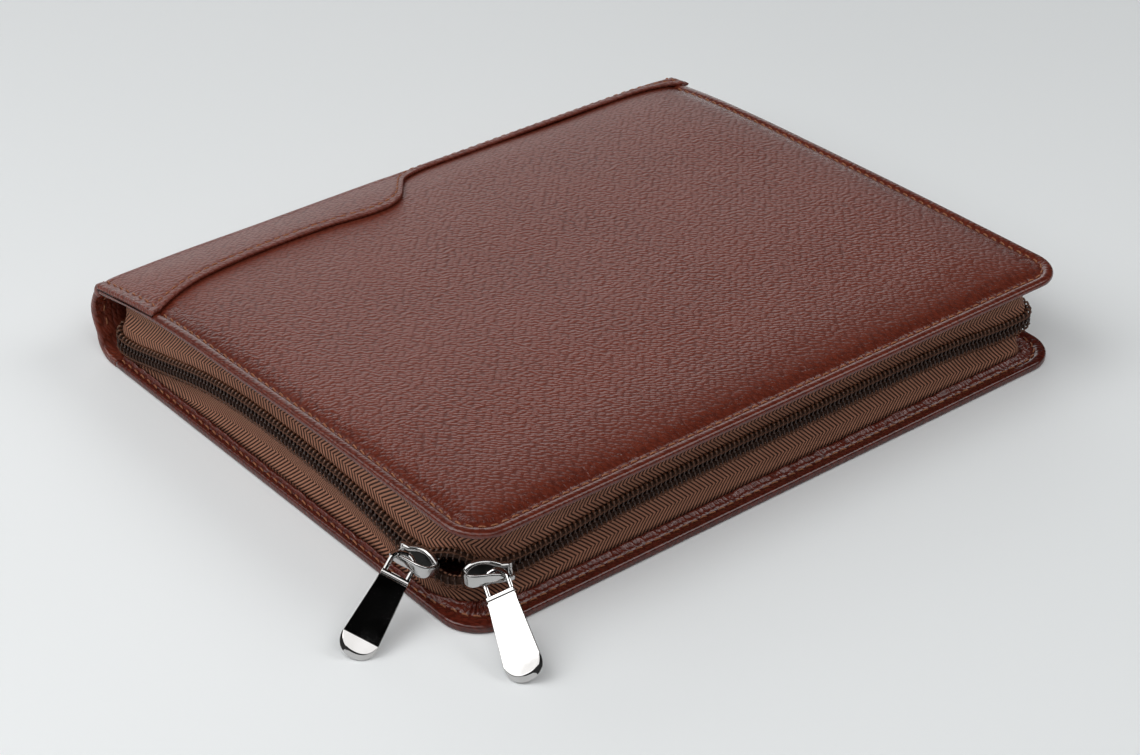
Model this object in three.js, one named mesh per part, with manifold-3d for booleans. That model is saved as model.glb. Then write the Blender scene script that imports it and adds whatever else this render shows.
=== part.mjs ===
// A zip-around tablet portfolio case, lying closed on its back cover.
// Millimetres, +Z up. Shapes are laid out from the spine (x = 0) and the near side (y = 0), and
// the group then shifts them so that the origin is the middle of the back cover's underside.
import * as THREE from "three";
import { mergeVertices } from "three/addons/utils/BufferGeometryUtils.js";
import Module from "manifold-3d";

const wasm = await Module();
wasm.setup();

// Covers
const WIDTH = 208; // spine to fore edge
const LENGTH = 265; // near side to far side
const CORNER_RADIUS = 14; // of both covers at the fore edge
const BACK_THICKNESS = 3;
const RIM_THICKNESS = 2.2; // of the front cover where it is stitched
const RIM_ROUND = { run: 1.2, drop: 0.7 }; // how the leather turns over at a rim
const FRONT_SHORT = 2; // the front cover stops this much short of the far side
const PUFF = { height: 2.6, seam: 5, run: 14, spineRun: 34 }; // padding raised inside the stitched rim
const GAP = 0.3; // between pieces that touch

// Spine panel
const SPINE = {
  wall: 2.6, // thickness
  wallX: 0.5, // its outer face at both bends
  bottomBend: 8.5,
  topBend: 3.5,
  seam: 12, // where its lower edge meets the back cover
  coverEdge: 4.2, // where the front cover starts behind it
  overlay: 1.3, // thickness of the leather laid on the front cover
  lift: 0.5, // of that leather over the cover's facets
  swell: 3, // how far the wall bulges between its bends
};

// Zip: the tape's outer face is set back from the covers' outline on each side
const INSET = { near: 4.5, fore: 8, far: 9.5 };
const TAPE = { thickness: 1, bow: 1.5, nearRadius: 22, farRadius: 7, tuckFrom: 13.5, tuckTo: 6.5 };
const ROW_GAP = 0.15; // half the space between the closed coil rows
const COIL = { depth: 2, height: 3.3 };
const MOUTH = { open: 8, reach: 15.8, lean: 12, leanReach: 46 }; // where the zip is left open
const ROUTE_STEPS = [4, 10, 10, 12, 5, 10, 4]; // stops in each piece of the zip's route, spine to spine

// Sliders stand on the rounded near corner of the zip; the tabs hang from their bails
const SLIDER = {
  tail: 9.2,
  nose: 6.5,
  tailHalf: 2.3,
  noseHalf: 4.4,
  plate: 1.2,
  standOff: 0.5, // front plate clear of the coil
  back: 1, // back plate's thickness
  backGap: 2, // and its distance inside the tape
};
const BAR_RADIUS = 0.62; // of the bail where the tab hangs
const BAR_HEIGHT = 4.7; // above the slider's front plate
const HANG_POINT = -2.8; // along the bail, from the slider's middle

// Bail from its tail foot over the bar to its leaf-shaped nose foot: place along the slider, height above
// its plate, slope, and half its width
const BAIL = [
  { along: -8.6, height: -0.6, slope: 90, half: 1.5 },
  { along: -8.6, height: 2.2, slope: 90, half: 0.9 },
  { along: -8.4, height: 3.7, slope: 62, half: 0.62 },
  { along: -7.8, height: 4.45, slope: 30, half: 0.62 },
  { along: -6.9, height: 4.7, slope: 0, half: 0.62 },
  { along: 1.7, height: 4.7, slope: 0, half: 0.62 },
  { along: 3.2, height: 4.55, slope: -12, half: 1.4 },
  { along: 4.7, height: 3.9, slope: -36, half: 1.8 },
  { along: 5.7, height: 2.5, slope: -68, half: 1.8 },
  { along: 6, height: -0.6, slope: -90, half: 1.9 },
];
const TAB = {
  loopHalf: 4.6,
  slotHalf: 3,
  slotTop: 2.2, // slot's round end behind the bail
  slotEnd: 4.6,
  loopThickness: 1.5,
  roll: 28, // turned on its own length so that the bail passes through the loop
};

// Front cover's rim above the table, on the near and far sides
const RIM_HEIGHTS = [
  { fromSpine: 4, near: 27.5, far: 26.2 },
  { fromSpine: 24, near: 31.2, far: 28.8 },
  { fromSpine: 50, near: 34.0, far: 30.8 },
  { fromSpine: 90, near: 35.7, far: 32.7 },
  { fromSpine: 135, near: 37.3, far: 34.5 },
  { fromSpine: 208, near: 37.3, far: 36.6 },
];

// How far the spine panel reaches over the front cover
const OVERLAY_EDGE = [
  { fromNear: 0, reach: 38 },
  { fromNear: 12, reach: 33.5 },
  { fromNear: 30, reach: 28.8 },
  { fromNear: 52, reach: 26.2 },
  { fromNear: 82, reach: 25.9 },
  { fromNear: 101, reach: 27.8 },
  { fromNear: 109, reach: 26.6 },
  { fromNear: 115, reach: 23.2 },
  { fromNear: 121, reach: 16 },
  { fromNear: 127, reach: 9 },
  { fromNear: 134, reach: 6.2 },
  { fromNear: 160, reach: 5.6 },
  { fromNear: 235, reach: 6.2 },
  { fromNear: 265, reach: 9.5 },
];
const STEP_SPAN = [98, 138]; // stretch of that edge with the S-shaped step

// Height of the zip's middle line, from its near spine end round to the far one
const ZIP_LINE = [
  { along: 0, height: 9.8 },
  { along: 13, height: 8.3 },
  { along: 30, height: 11.8 },
  { along: 60, height: 18.6 },
  { along: 80, height: 21 },
  { along: 112, height: 21.5 },
  { along: 148, height: 19.2 },
  { along: 170, height: 15.4 },
  { along: 190, height: 15.6 },
  { along: 217, height: 16.6 },
  { along: 250, height: 19.6 },
  { along: 330, height: 20.2 },
  { along: 398, height: 19.3 },
  { along: 424, height: 17 },
  { along: 465, height: 18.4 },
  { along: 555, height: 20.5 },
  { along: 592, height: 14.5 },
  { along: 618, height: 8.6 },
  { along: 634, height: 9.8 },
];

// Where each slider sits on the near corner's bend (degrees round it), which way it opens, how far it
// turns from the zip's own direction, and how its tab lies: below level, and swung along the zip
const SLIDERS = [
  { side: "left", bend: 9.6, nose: 1, swivel: -0.5, droop: 27.3, skew: 11.6, roll: -1 },
  { side: "right", bend: 54.3, nose: -1, swivel: 8.4, droop: 26.9, skew: 7.1, roll: 1 },
];

// Pull tab's body from its neck to its rounded tip: half width at its back, half width of its flat face,
// and that face's height over the middle of the loop
const TAB_BACK = -0.8;
const TAB_BODY = [
  { along: 4.6, half: 4.6, face: 4.45, front: 0.75 },
  { along: 5.9, half: 4.65, face: 4.5, front: 0.8 },
  { along: 6, half: 4.5, face: 4.4, front: 0.45 },
  { along: 6.5, half: 4.5, face: 4.4, front: 0.45 },
  { along: 6.6, half: 4.75, face: 4.5, front: 0.9 },
  { along: 17, half: 5.45, face: 5.2, front: 1.2 },
  { along: 28, half: 6.05, face: 5.8, front: 1.5 },
  { along: 29.8, half: 5.85, face: 5.1, front: 1.5 },
  { along: 31, half: 5.4, face: 3.8, front: 1.5 },
  { along: 31.6, half: 5.05, face: 2.4, front: 1.45 },
  { along: 31.9, half: 4.85, face: 1, front: 1.4 },
  { along: 32.8, half: 4, face: 0.9, front: 1 },
  { along: 33.6, half: 2.7, face: 0.7, front: 0.4 },
  { along: 34, half: 1.2, face: 0.4, front: -0.2 },
];

const LEATHER = { color: 0x5c3028, roughness: 0.5, metalness: 0 };
const TAPE_CLOTH = { color: 0x4b2c1e, roughness: 0.9, metalness: 0 };
const COIL_NYLON = { color: 0x35251f, roughness: 0.45, metalness: 0 };
const GUNMETAL = { color: 0x8d8a88, roughness: 0.15, metalness: 1 };

const radians = THREE.MathUtils.degToRad;
const UP = new THREE.Vector3(0, 0, 1);

// A smooth curve through one column of a table
function curveThrough(rows, key, column) {
  const keys = rows.map((row) => row[key]);
  const values = rows.map((row) => row[column]);
  const spline = new THREE.CubicInterpolant(keys, values, 1);
  return (at) => spline.evaluate(at)[0];
}

const spread = (from, to, steps) =>
  Array.from({ length: steps + 1 }, (_, k) => THREE.MathUtils.lerp(from, to, k / steps));

const ease = (t) => THREE.MathUtils.smootherstep(t, 0, 1);

// Geometry from vertex numbers and triangles, turned so that its faces point out
function closedGeometry(vertices, triangles) {
  const corner = (index) => new THREE.Vector3().fromArray(vertices, 3 * index);
  let volume = 0;
  for (let t = 0; t < triangles.length; t += 3) {
    const [a, b, c] = triangles.slice(t, t + 3).map(corner);
    volume += a.dot(b.cross(c));
  }
  const geometry = new THREE.BufferGeometry();
  geometry.setAttribute("position", new THREE.Float32BufferAttribute(vertices, 3));
  geometry.setIndex(volume > 0 ? triangles : triangles.toReversed());
  geometry.computeVertexNormals();
  return geometry;
}

// A plate between two height functions, over columns of x that each have their own row of y
function plate(columns, rowAt, top, bottom) {
  const vertices = [];
  const vertex = (x, y, z) => vertices.push(x, y, z) / 3 - 1;
  const layer = (height) => columns.map((x) => rowAt(x).map((y) => vertex(x, y, height(x, y))));
  const [upper, lower] = [layer(top), layer(bottom)];
  const triangles = [];
  const quad = (a, b, c, d) => triangles.push(a, b, c, a, c, d);
  const lastColumn = columns.length - 1;
  const lastRow = upper[0].length - 1;
  for (let i = 0; i < lastColumn; i += 1) {
    for (let j = 0; j < lastRow; j += 1) {
      quad(upper[i][j], upper[i + 1][j], upper[i + 1][j + 1], upper[i][j + 1]);
      quad(lower[i][j], lower[i][j + 1], lower[i + 1][j + 1], lower[i + 1][j]);
    }
    quad(lower[i][0], lower[i + 1][0], upper[i + 1][0], upper[i][0]);
    quad(lower[i + 1][lastRow], lower[i][lastRow], upper[i][lastRow], upper[i + 1][lastRow]);
  }
  for (let j = 0; j < lastRow; j += 1) {
    quad(lower[0][j + 1], lower[0][j], upper[0][j], upper[0][j + 1]);
    quad(lower[lastColumn][j], lower[lastColumn][j + 1], upper[lastColumn][j + 1], upper[lastColumn][j]);
  }
  return closedGeometry(vertices, triangles);
}

// A solid through a run of flat outlines with the same number of points, closed at both ends
function loft(sections) {
  const count = sections[0].outline.length;
  const vertices = sections.flatMap(({ outline, place }) =>
    outline.flatMap((point) => place(point).toArray()));
  const triangles = [];
  for (let s = 0; s + 1 < sections.length; s += 1) {
    for (let k = 0; k < count; k += 1) {
      const a = s * count + k;
      const b = s * count + ((k + 1) % count);
      triangles.push(a, b, b + count, a, b + count, a + count);
    }
  }
  for (const s of [0, sections.length - 1]) {
    const { outline } = sections[s];
    const turn = Math.sign(THREE.ShapeUtils.area(outline)) * (s === 0 ? -1 : 1);
    for (const face of THREE.ShapeUtils.triangulateShape(outline, [])) {
      const same = Math.sign(THREE.ShapeUtils.area(face.map((k) => outline[k]))) === turn;
      triangles.push(...(same ? face : face.toReversed()).map((k) => s * count + k));
    }
  }
  return closedGeometry(vertices, triangles);
}

function toManifold(geometry) {
  const bare = new THREE.BufferGeometry();
  bare.setAttribute("position", geometry.getAttribute("position"));
  bare.setIndex(geometry.getIndex());
  const merged = mergeVertices(bare);
  return new wasm.Manifold(new wasm.Mesh({
    numProp: 3,
    vertProperties: merged.getAttribute("position").array,
    triVerts: Uint32Array.from(merged.getIndex().array),
  }));
}

function fuse(geometries) {
  const mesh = geometries.map(toManifold).reduce((whole, piece) => whole.add(piece)).getMesh();
  const geometry = new THREE.BufferGeometry();
  geometry.setAttribute("position", new THREE.BufferAttribute(mesh.vertProperties, 3));
  geometry.setIndex(new THREE.BufferAttribute(mesh.triVerts, 1));
  geometry.computeVertexNormals();
  return geometry;
}

function meshOf(name, geometry, finish) {
  const mesh = new THREE.Mesh(geometry, new THREE.MeshStandardMaterial(finish));
  mesh.name = name;
  return mesh;
}

// Covers
const nearRim = curveThrough(RIM_HEIGHTS, "fromSpine", "near");
const farRim = curveThrough(RIM_HEIGHTS, "fromSpine", "far");
const FRONT_LENGTH = LENGTH - FRONT_SHORT;

// Distance in from a cover's outline, which is open at the spine
function edgeDistance(x, y, length) {
  const side = Math.min(y, length - y);
  const beyond = x - (WIDTH - CORNER_RADIUS);
  const corner = CORNER_RADIUS - side;
  if (beyond > 0 && corner > 0) {
    return CORNER_RADIUS - Math.hypot(beyond, corner);
  }
  return Math.min(side, WIDTH - x);
}

const rimTurn = (distance) =>
  RIM_ROUND.drop * (1 - THREE.MathUtils.clamp(distance / RIM_ROUND.run, 0, 1)) ** 2;
const rimHeight = (x, y) => THREE.MathUtils.lerp(nearRim(x), farRim(x), y / LENGTH);
const puffRise = (distance) => ease((distance - PUFF.seam) / PUFF.run);

function frontTop(x, y) {
  const acrossWidth = puffRise(WIDTH - x) * ease((x + 10) / PUFF.spineRun);
  const alongLength = puffRise(y) * puffRise(FRONT_LENGTH - y);
  const padding = PUFF.height * acrossWidth * alongLength;
  return rimHeight(x, y) + padding - rimTurn(edgeDistance(x, y, FRONT_LENGTH));
}

const frontUnder = (x, y) => rimHeight(x, y) - RIM_THICKNESS + rimTurn(edgeDistance(x, y, FRONT_LENGTH));

// Columns of x that follow the round corners at the fore edge
function coverColumns(start, steps) {
  const straight = spread(start, WIDTH - CORNER_RADIUS, steps);
  const round = spread(0, Math.PI / 2, 6).slice(1);
  return [...straight, ...round.map((angle) => WIDTH - CORNER_RADIUS * (1 - Math.sin(angle)))];
}

// Rows of y across a cover at one x, close together inside each rim
function coverRows(length, rimSteps, middleSteps) {
  return (x) => {
    const beyond = Math.max(0, x - (WIDTH - CORNER_RADIUS));
    const low = CORNER_RADIUS - Math.sqrt(CORNER_RADIUS ** 2 - Math.min(beyond, CORNER_RADIUS) ** 2);
    const high = length - low;
    const inner = rimSteps.at(-1);
    return [
      ...rimSteps.slice(0, -1).map((step) => low + step),
      ...spread(low + inner, high - inner, middleSteps),
      ...rimSteps.slice(0, -1).toReversed().map((step) => high - step),
    ];
  };
}

const frontGeometry = plate(
  coverColumns(SPINE.coverEdge, 12),
  coverRows(FRONT_LENGTH, [0, RIM_ROUND.run, PUFF.seam, 9.5, 14, 19], 9),
  frontTop,
  frontUnder,
);
const backTurn = (x, y) => rimTurn(edgeDistance(x, y, LENGTH));
const backGeometry = plate(
  coverColumns(SPINE.seam + GAP, 3),
  coverRows(LENGTH, [0, RIM_ROUND.run, 6], 3),
  (x, y) => BACK_THICKNESS - backTurn(x, y),
  backTurn,
);

// Spine panel: one outline across the spine at each stop along it
const overlayReach = curveThrough(OVERLAY_EDGE, "fromNear", "reach");
const arcPoints = (x, z, radius, from, to, steps) =>
  spread(radians(from), radians(to), steps).map(
    (angle) => new THREE.Vector2(x + radius * Math.cos(angle), z + radius * Math.sin(angle)),
  );

function spineOutline(y) {
  const { wall, wallX, bottomBend, topBend, seam, coverEdge, overlay, lift, swell } = SPINE;
  const skin = (x) => frontTop(Math.max(x, coverEdge), y) + lift;
  const topZ = skin(coverEdge) + overlay;
  const shoulder = topZ - topBend;
  const waist = spread(bottomBend, shoulder, 5).slice(1, -1);
  const swelling = (z) => wallX - swell * Math.sin(Math.PI * (z - bottomBend) / (shoulder - bottomBend));
  const bendX = wallX + bottomBend;
  const onCover = spread(wallX + topBend, overlayReach(y), 7).slice(1);
  const inside = coverEdge - GAP;
  return [
    new THREE.Vector2(seam, 0),
    ...arcPoints(bendX, bottomBend, bottomBend, 270, 180, 4),
    ...waist.map((z) => new THREE.Vector2(swelling(z), z)),
    ...arcPoints(wallX + topBend, shoulder, topBend, 180, 90, 4),
    ...onCover.map((x) => new THREE.Vector2(x, skin(x) + overlay)),
    ...onCover.toReversed().map((x) => new THREE.Vector2(x, skin(x))),
    new THREE.Vector2(inside, skin(coverEdge)),
    new THREE.Vector2(inside, frontUnder(coverEdge, y) - 1),
    ...waist.toReversed().map((z) => new THREE.Vector2(swelling(z) + wall, z)),
    ...arcPoints(bendX, bottomBend, bottomBend - BACK_THICKNESS, 180, 270, 4),
    new THREE.Vector2(seam, BACK_THICKNESS),
  ];
}

const spineStops = [...new Set([
  RIM_ROUND.run,
  ...spread(0, LENGTH, 18),
  ...spread(...STEP_SPAN, 10),
])].sort((a, b) => a - b);
const spineGeometry = loft(spineStops.map((y) => ({
  outline: spineOutline(y),
  place: ({ x, y: z }) => new THREE.Vector3(x, y, z),
})));

// Inside of the case under the zip: flat, and rising into the spine's lower bend
function floorHeight(x) {
  const radius = SPINE.bottomBend - BACK_THICKNESS;
  const into = Math.max(0, SPINE.wallX + SPINE.bottomBend - x);
  return SPINE.bottomBend - Math.sqrt(radius ** 2 - into ** 2);
}

// Zip route in plan, with a tucked end at each side of the spine
const foreX = WIDTH - INSET.fore;
const farY = LENGTH - INSET.far;
const bendCentre = new THREE.Vector2(foreX - TAPE.nearRadius, INSET.near + TAPE.nearRadius);
const route = new THREE.Path();
route.moveTo(TAPE.tuckTo, INSET.near + TAPE.tuckFrom - TAPE.tuckTo);
route.quadraticCurveTo(TAPE.tuckTo, INSET.near, TAPE.tuckFrom, INSET.near);
route.lineTo(bendCentre.x, INSET.near);
route.absarc(bendCentre.x, bendCentre.y, TAPE.nearRadius, -Math.PI / 2, 0);
route.lineTo(foreX, farY - TAPE.farRadius);
route.absarc(foreX - TAPE.farRadius, farY - TAPE.farRadius, TAPE.farRadius, 0, Math.PI / 2);
route.lineTo(TAPE.tuckFrom, farY);
route.quadraticCurveTo(TAPE.tuckTo, farY, TAPE.tuckTo, farY - TAPE.tuckFrom + TAPE.tuckTo);
// the straight piece that joins each arc to the line before it has no length, and is left out
const routePieces = route.curves.filter((curve) => curve.getLength() > GAP);

const bendStart = routePieces[0].getLength() + routePieces[1].getLength();
const alongBend = (degrees) => bendStart + TAPE.nearRadius * radians(degrees);
const mouthMiddle = alongBend((SLIDERS[0].bend + SLIDERS[1].bend) / 2);
const zipHeight = curveThrough(ZIP_LINE, "along", "height");
const swing = (along, reach) => Math.cos(Math.min(1, Math.abs(along - mouthMiddle) / reach) * Math.PI / 2);
const mouthAt = (along) => MOUTH.open * swing(along, MOUTH.reach) ** 4;
const leanAt = (along) => radians(MOUTH.lean) * swing(along, MOUTH.leanReach) ** 2;

// Stops along the zip: place in plan, outward direction, height, opening and lean
function zipStops() {
  const stops = [];
  let before = 0;
  routePieces.forEach((curve, piece) => {
    const steps = ROUTE_STEPS[piece];
    const last = piece === routePieces.length - 1 ? steps : steps - 1;
    for (let k = 0; k <= last; k += 1) {
      const along = before + curve.getLength() * k / steps;
      const tangent = curve.getTangentAt(k / steps);
      stops.push({
        place: curve.getPointAt(k / steps),
        out: new THREE.Vector2(tangent.y, -tangent.x),
        height: zipHeight(along),
        mouth: mouthAt(along),
        lean: leanAt(along),
      });
    }
    before += curve.getLength();
  });
  return stops;
}

// The zip's own directions across a stop, as (outward, up): along the tape's face and out of it
function zipAxes({ lean }) {
  return {
    face: new THREE.Vector2(-Math.sin(lean), Math.cos(lean)),
    out: new THREE.Vector2(Math.cos(lean), Math.sin(lean)),
  };
}

const acrossZip = (stop) => (point) =>
  new THREE.Vector3(stop.place.x + stop.out.x * point.x, stop.place.y + stop.out.y * point.x, point.y);

// A tape wall from its coil to the cover that it is sewn to; way is 1 for the upper tape, -1 for the lower
function tapeSection(stop, way) {
  const { face, out } = zipAxes(stop);
  const edge = new THREE.Vector2(0, stop.height).addScaledVector(face, way * (stop.mouth / 2 + ROW_GAP));
  const { x, y } = stop.place;
  const sewnAt = way > 0 ? frontUnder(x, y) - GAP : floorHeight(x) + GAP;
  const sewn = new THREE.Vector2(0, sewnAt);
  const room = Math.abs(sewnAt - edge.y);
  const behindCoil = edge.clone().addScaledVector(face, way * Math.min(COIL.height + GAP, 0.85 * room));
  const middle = behindCoil.clone().lerp(sewn, 0.5);
  middle.x -= TAPE.bow * Math.min(1, room / 12);
  const outer = [edge, behindCoil, middle, sewn];
  const back = [out, out, new THREE.Vector2(1, 0), new THREE.Vector2(1, 0)];
  const inner = outer.map((point, k) => point.clone().addScaledVector(back[k], -TAPE.thickness));
  return { outline: [...outer, ...inner.toReversed()], place: acrossZip(stop) };
}

// One coil row on the outside of its tape
function coilSection(stop, way) {
  const { face, out } = zipAxes(stop);
  const { depth, height } = COIL;
  const profile = [
    [GAP, 0], [GAP + 0.8 * depth, 0], [GAP + depth, 0.2 * height],
    [GAP + depth, 0.75 * height], [GAP + 0.7 * depth, height], [GAP, height],
  ];
  const root = new THREE.Vector2(0, stop.height).addScaledVector(face, way * (stop.mouth / 2 + ROW_GAP));
  const outline = profile.map(([proud, up]) =>
    root.clone().addScaledVector(out, proud).addScaledVector(face, way * up));
  return { outline, place: acrossZip(stop) };
}

const stops = zipStops();
const tapeGeometry = (way) => loft(stops.map((stop) => tapeSection(stop, way)));
const coilGeometry = (way) => loft(stops.map((stop) => coilSection(stop, way)));

// Slider in its own frame: x towards its wide nose, y up across the zip, z out of it, from the tape's face
const PLATE_BACK = GAP + COIL.depth + SLIDER.standOff;
const PLATE_FRONT = PLATE_BACK + SLIDER.plate;
const BAIL_AXIS = PLATE_FRONT + BAR_HEIGHT;

function sliderPlate(tail, nose, back, thickness) {
  const shape = new THREE.Shape();
  shape.moveTo(-tail, -SLIDER.tailHalf);
  shape.lineTo(-0.15 * tail, -SLIDER.tailHalf);
  shape.quadraticCurveTo(0.45 * nose, -SLIDER.noseHalf, 0.7 * nose, -SLIDER.noseHalf);
  shape.quadraticCurveTo(nose, -SLIDER.noseHalf, nose, 0);
  shape.quadraticCurveTo(nose, SLIDER.noseHalf, 0.7 * nose, SLIDER.noseHalf);
  shape.quadraticCurveTo(0.45 * nose, SLIDER.noseHalf, -0.15 * tail, SLIDER.tailHalf);
  shape.lineTo(-tail, SLIDER.tailHalf);
  const options = { depth: thickness, bevelEnabled: false, curveSegments: 5 };
  return new THREE.ExtrudeGeometry(shape, options).translate(0, 0, back);
}

// The arched bail on the slider's front plate
function bailGeometry() {
  const circle = spread(0, 2 * Math.PI, 10).slice(0, -1);
  return loft(BAIL.map(({ along, height, slope, half }) => {
    const tilt = radians(slope);
    return {
      outline: circle.map((angle) => new THREE.Vector2(half * Math.cos(angle), BAR_RADIUS * Math.sin(angle))),
      place: ({ x: across, y: over }) => new THREE.Vector3(
        along - over * Math.sin(tilt), across, PLATE_FRONT + height + over * Math.cos(tilt)),
    };
  }));
}

// Front and back plates, the post that joins them between the coil rows, and the bail
function sliderGeometry() {
  const front = sliderPlate(SLIDER.tail, SLIDER.nose, PLATE_BACK, SLIDER.plate);
  const backPlane = -(TAPE.thickness + SLIDER.backGap);
  const back = sliderPlate(0.35 * SLIDER.tail, 0.8 * SLIDER.nose, backPlane - SLIDER.back, SLIDER.back);
  const post = new THREE.CylinderGeometry(0.8, 0.8, PLATE_FRONT - backPlane, 8);
  post.rotateX(Math.PI / 2).translate(0.5 * SLIDER.nose, 0, (PLATE_FRONT + backPlane - SLIDER.back) / 2);
  return fuse([front, back, post, bailGeometry()]);
}

// Pull tab in its own frame: x along the tab from the bail, y across it, z out of its front
function tabGeometry() {
  const { loopHalf, slotHalf, slotTop, slotEnd, loopThickness } = TAB;
  const roundX = slotHalf - slotTop;
  const neck = slotEnd + 0.4;
  const loop = new THREE.Shape();
  loop.moveTo(neck, -loopHalf);
  loop.lineTo(neck, loopHalf);
  loop.lineTo(roundX, loopHalf);
  loop.absarc(roundX, 0, loopHalf, Math.PI / 2, 1.5 * Math.PI);
  const slot = new THREE.Path();
  slot.moveTo(slotEnd, -slotHalf);
  slot.absarc(roundX, 0, slotHalf, 1.5 * Math.PI, Math.PI / 2, true);
  slot.lineTo(slotEnd, slotHalf);
  loop.holes.push(slot);
  const options = { depth: loopThickness, bevelEnabled: false, curveSegments: 10 };
  const ring = new THREE.ExtrudeGeometry(loop, options).translate(0, 0, -loopThickness / 2);
  const body = loft(TAB_BODY.map(({ along, half, face, front }) => ({
    outline: [
      [half, TAB_BACK], [half, (TAB_BACK + front) / 2], [face, front],
      [-face, front], [-half, (TAB_BACK + front) / 2], [-half, TAB_BACK],
    ].map(([across, out]) => new THREE.Vector2(across, out)),
    place: (point) => new THREE.Vector3(along, point.x, point.y),
  })));
  return fuse([ring, body]);
}

// A slider's place on the near corner's bend, and its tab's, hung on the bail
function sliderPose({ bend, nose, swivel, droop, skew, roll }) {
  const angle = radians(bend);
  const along = alongBend(bend);
  const place = new THREE.Vector3(
    bendCentre.x + TAPE.nearRadius * Math.sin(angle),
    bendCentre.y - TAPE.nearRadius * Math.cos(angle),
    zipHeight(along),
  );
  const heading = radians(bend + swivel);
  const bar = new THREE.Vector3(Math.cos(heading), Math.sin(heading), 0);
  const level = new THREE.Vector3().crossVectors(bar, UP);
  const lean = leanAt(along);
  const out = level.clone().multiplyScalar(Math.cos(lean)).addScaledVector(UP, Math.sin(lean));
  const across = new THREE.Vector3().crossVectors(out, bar);
  const slider = new THREE.Matrix4().makeBasis(
    bar.clone().multiplyScalar(nose), across.clone().multiplyScalar(nose), out);
  slider.setPosition(place);

  const hinge = place.clone().addScaledVector(out, BAIL_AXIS).addScaledVector(bar, nose * HANG_POINT);
  const down = radians(droop);
  const hang = level.clone().multiplyScalar(Math.cos(down)).addScaledVector(UP, -Math.sin(down));
  const front = level.clone().multiplyScalar(Math.sin(down)).addScaledVector(UP, Math.cos(down));
  const aside = radians(skew);
  const length = hang.clone().multiplyScalar(Math.cos(aside)).addScaledVector(bar, Math.sin(aside));
  const width = bar.clone().multiplyScalar(Math.cos(aside)).addScaledVector(hang, -Math.sin(aside));
  const turned = roll * radians(TAB.roll);
  const rolled = width.multiplyScalar(Math.cos(turned)).addScaledVector(front, Math.sin(turned));
  const tab = new THREE.Matrix4().makeBasis(length, rolled, new THREE.Vector3().crossVectors(length, rolled));
  tab.setPosition(hinge);
  return { slider, tab };
}

const portfolio = new THREE.Group();
portfolio.position.set(-WIDTH / 2, -LENGTH / 2, 0);
portfolio.add(
  meshOf("front_cover", frontGeometry, LEATHER),
  meshOf("back_cover", backGeometry, LEATHER),
  meshOf("spine_panel", spineGeometry, LEATHER),
  meshOf("zip_tape_upper", tapeGeometry(1), TAPE_CLOTH),
  meshOf("zip_tape_lower", tapeGeometry(-1), TAPE_CLOTH),
  meshOf("zip_coil_upper", coilGeometry(1), COIL_NYLON),
  meshOf("zip_coil_lower", coilGeometry(-1), COIL_NYLON),
);
for (const row of SLIDERS) {
  const { slider, tab } = sliderPose(row);
  const sliderMesh = meshOf(`slider_${row.side}`, sliderGeometry(), GUNMETAL);
  sliderMesh.applyMatrix4(slider);
  const tabMesh = meshOf(`pull_tab_${row.side}`, tabGeometry(), GUNMETAL);
  tabMesh.applyMatrix4(tab);
  portfolio.add(sliderMesh, tabMesh);
}

export default portfolio;
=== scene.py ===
# A zip-around tablet portfolio case in pebbled leather, lying closed on its back cover.
# Shapes are laid out in millimetres from the spine (x = 0) and the near side (y = 0), as the solids are;
# to_frame() puts them in the shared frame, in metres.
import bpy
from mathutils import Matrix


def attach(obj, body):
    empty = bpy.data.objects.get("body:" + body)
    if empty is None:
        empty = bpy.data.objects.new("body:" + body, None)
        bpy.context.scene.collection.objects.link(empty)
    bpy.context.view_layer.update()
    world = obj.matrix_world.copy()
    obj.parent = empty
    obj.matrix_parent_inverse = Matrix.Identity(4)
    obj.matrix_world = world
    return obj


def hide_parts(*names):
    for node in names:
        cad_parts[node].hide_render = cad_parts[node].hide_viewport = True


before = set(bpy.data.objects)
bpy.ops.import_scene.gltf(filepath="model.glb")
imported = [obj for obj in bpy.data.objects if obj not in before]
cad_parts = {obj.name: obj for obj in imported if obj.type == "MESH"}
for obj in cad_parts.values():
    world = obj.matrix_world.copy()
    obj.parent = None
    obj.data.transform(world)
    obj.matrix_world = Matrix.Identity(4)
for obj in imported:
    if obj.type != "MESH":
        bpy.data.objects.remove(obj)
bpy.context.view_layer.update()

from types import SimpleNamespace as Values

import bmesh
import bpy
import numpy as np
from mathutils import Matrix, Vector

# Covers
WIDTH = 208
LENGTH = 265
CORNER_RADIUS = 14
BACK_THICKNESS = 3
RIM_THICKNESS = 2.2
RIM_ROUND = 1.0
FRONT_LENGTH = LENGTH - 2
# Steps in from a panel's rounded edge
EDGE_STEPS = np.array([0, 0.03, 0.1, 0.22, 0.4, 0.6, 0.8, 1.05])
PUFF = Values(height=2.6, seam=4.2, run=26, power=2.4, spine_run=34)
# Height of the front cover's rim: distance from the spine, at the near side, at the far side
RIM_HEIGHTS = [
    (4, 27.5, 26.2), (24, 31.2, 28.8), (50, 34.0, 30.8),
    (90, 35.7, 32.7), (135, 37.3, 34.5), (208, 37.3, 36.6),
]

# Leather of the front cover: its stitched hem, the puckers inside the seam, slow waves over the padding, and
# how far from the fore edge the puckers are stronger and the painted shade near the rims is darker
FRONT = Values(start=4.2, grid_x=1.1, grid_y=0.65, stitch=4.0, groove=0.4, hem=0.32, pucker=0.14, wave=0.3,
               fore=34, burnish=90)
RIM_STEPS = np.array([
    0, 0.03, 0.1, 0.22, 0.4, 0.6, 0.8, 1.0, 1.35, 1.8, 2.3, 2.8, 3.2, 3.6, 4.0, 4.4, 4.8, 5.3, 6.0,
])

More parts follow.
